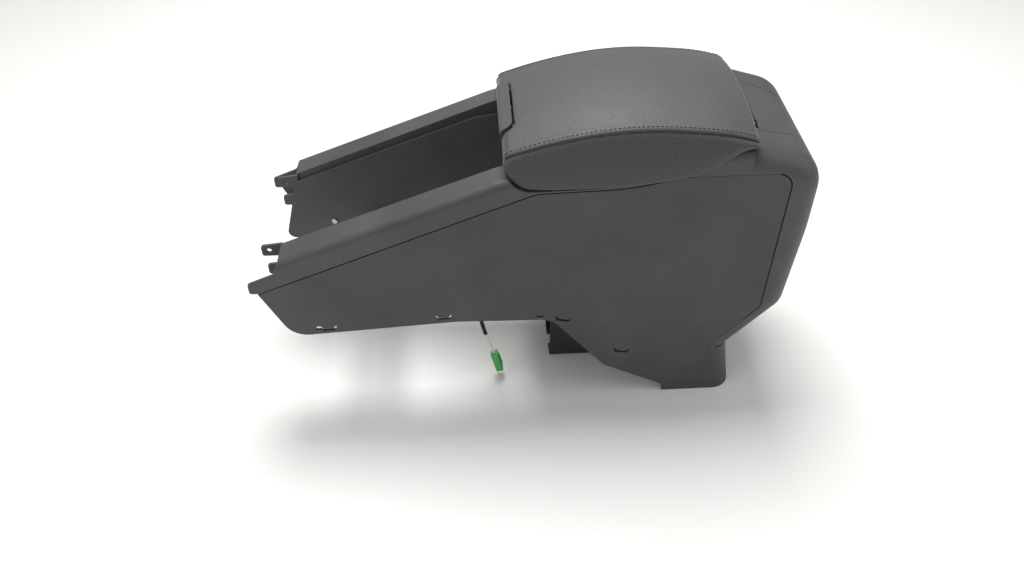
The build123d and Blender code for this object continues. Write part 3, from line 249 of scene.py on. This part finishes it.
def moulded(name, color, roughness, grain=1300.0, strength=0.35, edge=0.0007):
    """Moulded plastic with a fine grain and slightly uneven colour and gloss."""
    made, nodes, links, shader = material(name, color, roughness)
    cloud = noise(nodes, links, 16.0, 5.0)
    shades(nodes, links, shader, cloud.outputs["Fac"], scaled(color, 0.86), scaled(color, 1.14))
    patch = noise(nodes, links, 70.0, 4.0)
    rough_range(nodes, links, shader, patch.outputs["Fac"], roughness - 0.07, roughness + 0.07)
    fine = noise(nodes, links, grain, 3.0)
    relief(nodes, links, shader, fine.outputs["Fac"], strength, 0.0003, edge)
    return made


def leatherette(name, color):
    """Grained cover: small cells with creases between them."""
    made, nodes, links, shader = material(name, color, 0.5)
    warp = noise(nodes, links, 220.0, 2.0)
    place = nodes.new("ShaderNodeTexCoord")
    mixed = nodes.new("ShaderNodeMix")
    mixed.data_type = "VECTOR"
    mixed.inputs["Factor"].default_value = 0.0025
    links.new(place.outputs["Object"], mixed.inputs[4])
    links.new(warp.outputs["Color"], mixed.inputs[5])
    cells = nodes.new("ShaderNodeTexVoronoi")
    cells.feature = "DISTANCE_TO_EDGE"
    cells.inputs["Scale"].default_value = 620.0
    links.new(mixed.outputs[1], cells.inputs["Vector"])
    crease = nodes.new("ShaderNodeMapRange")
    crease.inputs["From Max"].default_value = 0.22
    links.new(cells.outputs["Distance"], crease.inputs["Value"])
    # The creases between the grain cells are painted darker: painted shade in the grain. The same crease mask
    # also drives the bump.
    shades(nodes, links, shader, crease.outputs["Result"], scaled(color, 0.78), scaled(color, 1.06))
    patch = noise(nodes, links, 45.0, 4.0)
    rough_range(nodes, links, shader, patch.outputs["Fac"], 0.42, 0.58)
    relief(nodes, links, shader, crease.outputs["Result"], 0.4, 0.0003)
    shader.inputs["Sheen Weight"].default_value = 0.15
    return made


def plated(name, color, roughness):
    """Plated sheet steel with faint rolling marks."""
    made, nodes, links, shader = material(name, color, roughness)
    shader.inputs["Metallic"].default_value = 1.0
    marks = noise(nodes, links, 300.0, 4.0, (1, 12, 12))
    shades(nodes, links, shader, marks.outputs["Fac"], scaled(color, 0.8), color)
    rough_range(nodes, links, shader, marks.outputs["Fac"], roughness - 0.08, roughness + 0.1)
    relief(nodes, links, shader, marks.outputs["Fac"], 0.15, 0.0001, 0.0004)
    return made


def wound_tape(name, color):
    """Cloth tape wound round the lead."""
    made, nodes, links, shader = material(name, color, 0.8)
    place = nodes.new("ShaderNodeTexCoord")
    turns = nodes.new("ShaderNodeTexWave")
    turns.bands_direction = "Z"
    turns.wave_profile = "SAW"
    turns.inputs["Scale"].default_value = 28.0
    turns.inputs["Distortion"].default_value = 1.5
    links.new(place.outputs["Object"], turns.inputs["Vector"])
    # Each turn runs from darker to lighter across its width: painted shade and light on the overlapping
    # wraps. The same bands also drive the bump.
    shades(nodes, links, shader, turns.outputs["Fac"], scaled(color, 0.6), scaled(color, 1.5))
    relief(nodes, links, shader, turns.outputs["Fac"], 0.6, 0.0006)
    return made


def frosted(name, color):
    made, nodes, links, shader = material(name, color, 0.4)
    shader.inputs["Transmission Weight"].default_value = 0.6
    ribs = noise(nodes, links, 500.0, 1.0, (1, 3, 0.2))
    shades(nodes, links, shader, ribs.outputs["Fac"], scaled(color, 0.92), color)
    relief(nodes, links, shader, ribs.outputs["Fac"], 0.3, 0.0003)
    return made


FINISHES = {
    "frame_plastic": moulded("frame_plastic", (0.063, 0.064, 0.062), 0.52),
    "panel_plastic": moulded("panel_plastic", (0.056, 0.057, 0.055), 0.56),
    "carrier_plastic": moulded("carrier_plastic", (0.072, 0.076, 0.074), 0.6, 700.0, 0.2),
    "paddle_plastic": moulded("paddle_plastic", (0.07, 0.07, 0.068), 0.5),
    "leatherette": leatherette("leatherette", (0.059, 0.06, 0.058)),
    "steel": plated("steel", (0.55, 0.55, 0.56), 0.35),
    "black_steel": moulded("black_steel", (0.02, 0.02, 0.021), 0.45, 500.0, 0.15),
    "rubber": moulded("rubber", (0.018, 0.018, 0.018), 0.85, 900.0, 0.4),
    "lens": frosted("lens", (0.85, 0.87, 0.86)),
    "tape": wound_tape("tape", (0.012, 0.012, 0.013)),
    "wire": moulded("wire", (0.72, 0.72, 0.68), 0.45, 900.0, 0.1, 0.0),
    "connector": moulded("connector", (0.06, 0.4, 0.1), 0.45, 900.0, 0.15, 0.0004),
}
THREAD = moulded("thread", (0.045, 0.045, 0.044), 0.7, 2600.0, 0.5, 0.0)
# Near-black for the tubes of painted shade sunk in the seam grooves
SEAM_SHADE = moulded("seam_shade", (0.012, 0.012, 0.013), 0.8, 1500.0, 0.3, 0.0)

for part in frame["record"]["subparts"]:
    shown = frame["nodes"][part["node"]]
    finish = FINISHES[part["material_slot"]]
    if shown.material_slots:
        shown.material_slots[0].material = finish
    else:
        shown.data.materials.append(finish)


def add(name, data, finish):
    """New object in the scene with its finish."""
    made = bpy.data.objects.new(name, data)
    bpy.context.scene.collection.objects.link(made)
    data.materials.append(finish)
    return made


# Camera, at the photograph's view
camera = bpy.data.objects.new("camera", bpy.data.cameras.new("camera"))
camera.data.sensor_width = SENSOR
camera.data.lens = FOCAL_PIXELS / IMAGE_WIDTH * SENSOR
camera.location = CAMERA_PLACE
camera.rotation_euler = (math.radians(CAMERA_PITCH), 0, math.radians(CAMERA_TURN))
bpy.context.scene.collection.objects.link(camera)
bpy.context.scene.camera = camera


# Hanging lead
def lead(name, route, diameter, shift, finish):
    curve = bpy.data.curves.new(name, "CURVE")
    curve.dimensions = "3D"
    curve.bevel_depth = diameter / 2000
    curve.bevel_resolution = 4
    curve.use_fill_caps = True
    spline = curve.splines.new("NURBS")
    spline.points.add(len(route) - 1)
    for point, place in zip(spline.points, route):
        point.co = (*(at(*place) + shift), 1)
    spline.order_u = 3
    spline.use_endpoint_u = True
    spline.resolution_u = 12
    made = add(name, curve, finish)
    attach(made, "console")
    return made


sleeve = lead("lead_sleeve", SLEEVE_ROUTE, SLEEVE_DIAMETER, Vector(), FINISHES["tape"])
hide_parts("harness_sleeve")
first_run = at(*WIRE_ROUTE[1]) - at(*WIRE_ROUTE[0])
wire_apart = Vector((0, 1, 0)).cross(first_run).normalized() * (WIRE_SPACING / 2000)
for name, node, shift in (
    ("lead_wire_front", "harness_wire_front", wire_apart),
    ("lead_wire_rear", "harness_wire_rear", -wire_apart),
):
    wire = lead(name, WIRE_ROUTE, WIRE_DIAMETER, shift, FINISHES["wire"])
    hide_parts(node)


# Armrest cushion
def seam_half_width(station):
    share = (station - CUSHION_FRONT) / (CUSHION_REAR - CUSHION_FRONT)
    return SEAM_FRONT_HALF_WIDTH + (SEAM_REAR_HALF_WIDTH - SEAM_FRONT_HALF_WIDTH) * share


def end_drop(station):
    """Rounding of the cushion's front and rear ends."""
    inside = min(station - CUSHION_FRONT, CUSHION_REAR - station)
    if inside >= CUSHION_END_RADIUS:
        return 0.0
    short = CUSHION_END_RADIUS - inside
    return CUSHION_END_RADIUS - math.sqrt(CUSHION_END_RADIUS**2 - short**2)


def underside(station):
    rise = math.tan(RIM_ANGLE) * (station - RIM_STATION)
    return RIM_HEIGHT + rise + UNDERSIDE / math.cos(RIM_ANGLE)


def cushion_top(station, side):
    half = seam_half_width(station)
    share = min(abs(side) / half, 1.0)
    crown = along(CROWN_LINE, station) * (1 - share**CROWN_POWER)
    return along(SEAM_LINE, station) + crown - end_drop(station)


def cushion_section(station):
    """Right half of a cross section, from the top's middle down round the skirt to the underside's middle."""
    half = seam_half_width(station)
    seam = cushion_top(station, half)
    low = min(along(LOWER_LINE, station), seam - GUSSET_LEAST)
    reach = half + (seam - low) * GUSSET_FLARE
    floor = underside(station)
    points = []
    for step in range(TOP_STEPS + 1):
        side = half * step / TOP_STEPS
        points.append((side, cushion_top(station, side)))
    for step in range(1, GUSSET_STEPS + 1):
        share = step / GUSSET_STEPS
        bulge = GUSSET_BULGE * math.sin(math.pi * share)
        points.append((half + (reach - half) * share + bulge, seam + (low - seam) * share))
    inner = min(SKIRT_HALF_WIDTH, reach - SKIRT_THICKNESS)
    points.append((reach - HEM_INSET, low - HEM_DROP))
    points.append((inner, low))
    for step in range(1, SKIRT_STEPS + 1):
        share = step / SKIRT_STEPS
        points.append((inner - SKIRT_LEAN * share, low + (floor - low) * share))
    for step in range(1, UNDERSIDE_STEPS + 1):
        points.append(((inner - SKIRT_LEAN) * (1 - step / UNDERSIDE_STEPS), floor))
    return points


def cushion_mesh():
    mesh = bmesh.new()
    rings = []
    for index in range(RING_COUNT + 1):
        station = CUSHION_FRONT + (CUSHION_REAR - CUSHION_FRONT) * index / RING_COUNT
        half_ring = cushion_section(station)
        ring = [mesh.verts.new(at(station, side, height)) for side, height in half_ring]
        mirrored = half_ring[-2:0:-1]
        ring += [mesh.verts.new(at(station, -side, height)) for side, height in mirrored]
        rings.append(ring)
    for before, after in zip(rings, rings[1:]):
        for index in range(len(before)):
            following = (index + 1) % len(before)
            mesh.faces.new((before[index], before[following], after[following], after[index]))
    mesh.faces.new(rings[0])
    mesh.faces.new(list(reversed(rings[-1])))
    bmesh.ops.recalc_face_normals(mesh, faces=mesh.faces)
    data = bpy.data.meshes.new("armrest_cover")
    mesh.to_mesh(data)
    mesh.free()
    return data


def notch_cutter():
    """Room for the release paddle, in the lid's tilted frame, with rounded rear corners."""
    radius = NOTCH_CORNER_RADIUS
    quarter = [math.radians(90 * step / CORNER_STEPS) for step in range(CORNER_STEPS + 1)]
    plan = [(-NOTCH_REACH, -NOTCH_HALF_WIDTH)]
    for side, turns in ((-1, quarter), (1, quarter[::-1])):
        for turn in turns:
            back = NOTCH_REAR - radius + radius * math.sin(turn)
            plan.append((back, side * (NOTCH_HALF_WIDTH - radius + radius * math.cos(turn))))
    plan.append((-NOTCH_REACH, NOTCH_HALF_WIDTH))
    mesh = bmesh.new()
    low = [mesh.verts.new(Vector((*corner, -NOTCH_TALL)) / 1000) for corner in plan]
    high = [mesh.verts.new(Vector((*corner, NOTCH_TALL)) / 1000) for corner in plan]
    mesh.faces.new(low)
    mesh.faces.new(high)
    for index in range(len(plan)):
        following = (index + 1) % len(plan)
        mesh.faces.new((low[index], low[following], high[following], high[index]))
    bmesh.ops.recalc_face_normals(mesh, faces=mesh.faces)
    tilt = Matrix.Translation(at(RIM_STATION, 0, RIM_HEIGHT)) @ Matrix.Rotation(-RIM_ANGLE, 4, "Y")
    bmesh.ops.transform(mesh, matrix=tilt, verts=mesh.verts)
    data = bpy.data.meshes.new("notch_cutter")
    mesh.to_mesh(data)
    mesh.free()
    made = bpy.data.objects.new("notch_cutter", data)
    bpy.context.scene.collection.objects.link(made)
    return made


def shaped(obj):
    """Mesh of an object with its modifiers applied."""
    graph = bpy.context.evaluated_depsgraph_get()
    return bpy.data.meshes.new_from_object(obj.evaluated_get(graph))


def seam_points(side, spacing, offset=0.0):
    """Points along one side's seam, or a line inside it on the cushion's top."""
    points = []
    station = CUSHION_FRONT + SEAM_INSET
    while station < CUSHION_REAR - SEAM_INSET:
        half = seam_half_width(station) - offset
        points.append(at(station, side * half, cushion_top(station, half)))
        station += spacing
    return points


cushion = add("armrest_cover", cushion_mesh(), FINISHES["leatherette"])
cutter = notch_cutter()
cut = cushion.modifiers.new("notch", "BOOLEAN")
cut.object = cutter
cut.solver = "EXACT"
voxels = cushion.modifiers.new("even", "REMESH")
voxels.mode = "VOXEL"
voxels.voxel_size = VOXEL
soften = cushion.modifiers.new("soften", "SMOOTH")
soften.factor = SMOOTH_SHARE
soften.iterations = SMOOTH_ROUNDS
cushion.data = shaped(cushion)
cushion.modifiers.clear()
bpy.data.objects.remove(cutter)
cushion.data.polygons.foreach_set("use_smooth", [True] * len(cushion.data.polygons))

seams = seam_points(1, SEAM_SAMPLE) + seam_points(-1, SEAM_SAMPLE)
near_seam = KDTree(len(seams))
for index, point in enumerate(seams):
    near_seam.insert(point, index)
near_seam.balance()
moves = []
for vertex in cushion.data.vertices:
    distance = near_seam.find(vertex.co)[2] * 1000
    groove = -GROOVE_DEPTH * math.exp(-((distance / GROOVE_WIDTH) ** 2))
    swell = SWELL_HEIGHT * math.exp(-(((distance - SWELL_PLACE) / SWELL_WIDTH) ** 2))
    moves.append(vertex.normal * (groove + swell) / 1000)
for vertex, move in zip(cushion.data.vertices, moves):
    vertex.co += move
cushion.data.update()
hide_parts("armrest_cushion")
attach(cushion, "armrest_lid")

cover_tree = BVHTree.FromObject(cushion, bpy.context.evaluated_depsgraph_get())


def tube(mesh, points, radius, sides=8):
    """Closed tube along points."""
    rings = []
    for index, point in enumerate(points):
        ahead = points[min(index + 1, len(points) - 1)]
        behind = points[max(index - 1, 0)]
        direction = (ahead - behind).normalized()
        across = direction.cross(Vector((0, 0, 1))).normalized()
        up = across.cross(direction)
        ring = []
        for turn in range(sides):
            angle = 2 * math.pi * turn / sides
            outward = across * math.cos(angle) + up * math.sin(angle)
            ring.append(mesh.verts.new(point + outward * radius))
        rings.append(ring)
    for before, after in zip(rings, rings[1:]):
        for index in range(sides):
            following = (index + 1) % sides
            mesh.faces.new((before[index], before[following], after[following], after[index]))
    mesh.faces.new(rings[0])
    mesh.faces.new(list(reversed(rings[-1])))


def armrest_sewing_and_shade(name, build, finish):
    """Stitching on the armrest, and the near-black tubes of painted shade in its seams, each from a function
    that fills its mesh.
    """
    mesh = bmesh.new()
    build(mesh)
    bmesh.ops.recalc_face_normals(mesh, faces=mesh.faces)
    data = bpy.data.meshes.new(name)
    mesh.to_mesh(data)
    mesh.free()
    data.polygons.foreach_set("use_smooth", [True] * len(data.polygons))
    made = add(name, data, finish)
    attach(made, "armrest_lid")


# A near-black tube sunk in the groove along each seam: painted shade in the seam.
def seam_shade_tubes(mesh):
    for side in (-1, 1):
        sunk = Vector((0, side * SEAM_SINK, SEAM_SINK))
        tube(mesh, [point - sunk for point in seam_points(side, SEAM_SPACING)], SEAM_RADIUS)


def stitch_row(mesh):
    for side in (-1, 1):
        row = seam_points(side, STITCH_PITCH, STITCH_OFFSET)
        for start, end in zip(row, row[1:]):
            points = []
            for share, lift in STITCH_ARCH:
                place, normal = cover_tree.find_nearest(start.lerp(end, share))[:2]
                points.append(place + normal * lift)
            tube(mesh, points, STITCH_RADIUS, 6)


armrest_sewing_and_shade("armrest_seam_shade", seam_shade_tubes, SEAM_SHADE)
armrest_sewing_and_shade("armrest_stitches", stitch_row, THREAD)

# Floor and studio light
floor_data = bpy.data.meshes.new("floor")
floor_corners = [(x * FLOOR_REACH, y * FLOOR_REACH, 0) for x, y in ((-1, -1), (1, -1), (1, 1), (-1, 1))]
floor_data.from_pydata(floor_corners, [], [(0, 1, 2, 3)])
made, nodes, links, shader = material("floor", FLOOR_COLOR, 0.9)
shader.inputs["Specular IOR Level"].default_value = 0.0
cloud = noise(nodes, links, 2.0, 3.0)
shades(nodes, links, shader, cloud.outputs["Fac"], FLOOR_DARK, FLOOR_LIGHT)
floor = add("floor", floor_data, made)


def lamp(name, place, target, size, power):
    data = bpy.data.lights.new(name, "AREA")
    data.shape = "SQUARE"
    data.size = size
    data.energy = power
    made = bpy.data.objects.new(name, data)
    made.location = place
    made.rotation_euler = (Vector(target) - Vector(place)).to_track_quat("-Z", "Y").to_euler()
    bpy.context.scene.collection.objects.link(made)


lamp("top_light", (-0.05, 0.55, 2.0), LIT_PLACE, 1.0, 41.0)
lamp("side_light", (-1.6, -1.2, 1.2), LIT_PLACE, 1.2, 7.0)
lamp("rear_light", (1.9, -0.5, 1.1), REAR_LIT_PLACE, 1.0, 7.0)
world = bpy.data.worlds.new("studio")
world.use_nodes = True
world.node_tree.nodes["Background"].inputs["Color"].default_value = (1, 1, 1, 1)
world.node_tree.nodes["Background"].inputs["Strength"].default_value = WORLD_STRENGTH
bpy.context.scene.world = world
bpy.context.scene.view_settings.view_transform = "Standard"
